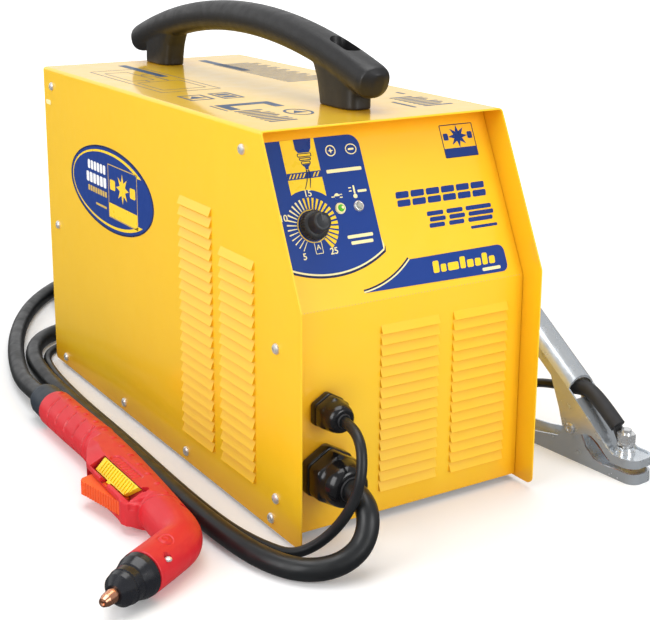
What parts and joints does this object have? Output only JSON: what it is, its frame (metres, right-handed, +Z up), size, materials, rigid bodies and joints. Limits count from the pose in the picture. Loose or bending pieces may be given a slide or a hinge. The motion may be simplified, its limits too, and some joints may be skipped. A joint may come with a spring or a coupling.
{
  "type": "plasma cutter unit",
  "caption": "Portable inverter plasma cutter with built-in compressor: folded steel case, arched handle, hand torch on a rubber lead and sprung return clamp.",
  "frame": {"origin": "on the floor under the middle of the box round the case, torch and clamp, leads left out", "axes": "+X to the case's right as seen from its front, +Y from the control panel to the rear panel, +Z up"},
  "size_m": [0.4753, 0.7758, 0.36],
  "materials": {
    "yellow_paint": "gloss",
    "zinc_steel": "satin",
    "zinc_screw": "bright",
    "bright_steel": "bright",
    "galvanised_steel": "satin",
    "motor_steel": "satin",
    "cast_alloy": "cast",
    "alloy": "extruded",
    "copper": "bright",
    "brass_valve": "machined",
    "black_rubber": "matte",
    "lead_rubber": "satin",
    "hose_rubber": "matte",
    "black_plastic": "textured",
    "gland_plastic": "gloss",
    "fan_plastic": "satin",
    "knob_plastic": "matte",
    "rocker_plastic": "gloss",
    "label_film": "satin print",
    "led_lens": "clear",
    "circuit_board": "lacquered",
    "capacitor_sleeve": "gloss",
    "ferrite": "matte",
    "wire_insulation": "gloss",
    "torch_red": "satin",
    "ferrule_grey": "matte",
    "trigger_orange": "satin",
    "catch_yellow": "satin",
    "torch_ceramic": "matte",
    "tie_fabric": "woven"
  },
  "bodies": {
    "root": {"outer_cover": "yellow_paint", "front_panel": "yellow_paint", "rear_panel": "yellow_paint", "base_tray": "zinc_steel", "feet": "black_rubber", "cover_screws": "zinc_screw", "handle_grip": "black_plastic", "handle_screws": "zinc_screw", "panel_labels": "label_film", "side_badge": "label_film", "potentiometer_body": "zinc_steel", "indicator_leds": "led_lens", "control_board": "circuit_board", "earth_gland_body": "gland_plastic", "earth_gland_nut": "gland_plastic", "torch_gland_body": "gland_plastic", "torch_gland_nut": "gland_plastic", "mains_gland": "gland_plastic", "fan_frame": "fan_plastic", "fan_guard": "bright_steel", "mains_switch_body": "gland_plastic", "compressor_motor": "motor_steel", "compressor_pump": "cast_alloy", "compressor_mount": "zinc_steel", "air_hose": "hose_rubber", "solenoid_valve": "brass_valve", "heatsink": "alloy", "inverter_board": "circuit_board", "bus_capacitors": "capacitor_sleeve", "main_transformer": "ferrite", "output_choke": "ferrite", "wiring_harness": "wire_insulation", "torch_shell_upper": "torch_red", "torch_shell_lower": "torch_red", "torch_ferrule": "ferrule_grey", "trigger_switch": "black_plastic", "torch_screws": "zinc_screw", "torch_head": "torch_ceramic", "torch_electrode": "copper", "torch_cup": "torch_ceramic", "torch_tip": "copper", "clamp_lower_arm": "galvanised_steel", "clamp_pin": "bright_steel", "clamp_spring": "bright_steel", "torch_lead": "lead_rubber", "torch_lead_coil": "lead_rubber", "earth_lead": "lead_rubber", "earth_lead_coil": "lead_rubber", "coil_ties": "tie_fabric"},
    "knob": {"current_knob": "knob_plastic", "potentiometer_shaft": "bright_steel"},
    "mains_rocker": {"mains_switch_rocker": "rocker_plastic"},
    "cooling_fan": {"fan_rotor": "fan_plastic"},
    "pump_drive": {"compressor_fan": "fan_plastic"},
    "trigger": {"torch_trigger": "trigger_orange"},
    "catch": {"safety_catch": "catch_yellow"},
    "upper_jaw": {"clamp_upper_arm": "galvanised_steel", "clamp_terminal": "bright_steel", "clamp_upper_contact": "copper", "earth_lead_sleeve": "black_rubber"}
  },
  "joints": [
    {"name": "knob_turn", "type": "hinge", "parent": "root", "child": "knob", "pos_m": [-0.0391, -0.18902, 0.22254], "axis": [0, -0.9052, 0.425], "range_deg": [-150, 150]},
    {"name": "mains_rocker_tilt", "type": "hinge", "parent": "root", "child": "mains_rocker", "pos_m": [-0.0235, 0.2236, 0.068], "axis": [1, 0, 0], "range_deg": [0, 22]},
    {"name": "fan_spin", "type": "hinge", "parent": "root", "child": "cooling_fan", "pos_m": [0.0495, 0.2116, 0.198], "axis": [0, 1, 0], "continuous": true},
    {"name": "pump_spin", "type": "hinge", "parent": "root", "child": "pump_drive", "pos_m": [-0.0135, 0.1806, 0.072], "axis": [0, 1, 0], "continuous": true},
    {"name": "trigger_press", "type": "hinge", "parent": "root", "child": "trigger", "pos_m": [-0.152, -0.1254, 0.016], "axis": [0, 0, -1], "range_deg": [0, 8], "stiffness_Nm_per_rad": 0.4, "springref_deg": -6.88},
    {"name": "catch_slide", "type": "slide", "parent": "root", "child": "catch", "axis": [0, -1, 0], "range_m": [0, 0.004], "stiffness_N_per_m": 250, "springref_m": -0.003},
    {"name": "jaw_open", "type": "hinge", "parent": "root", "child": "upper_jaw", "pos_m": [0.2101, -0.2071, 0.028], "axis": [-0.9966, -0.0823, 0], "range_deg": [0, 20], "stiffness_Nm_per_rad": 3, "springref_deg": -20.05, "deforming": ["clamp_spring", "earth_lead"]}
  ]
}
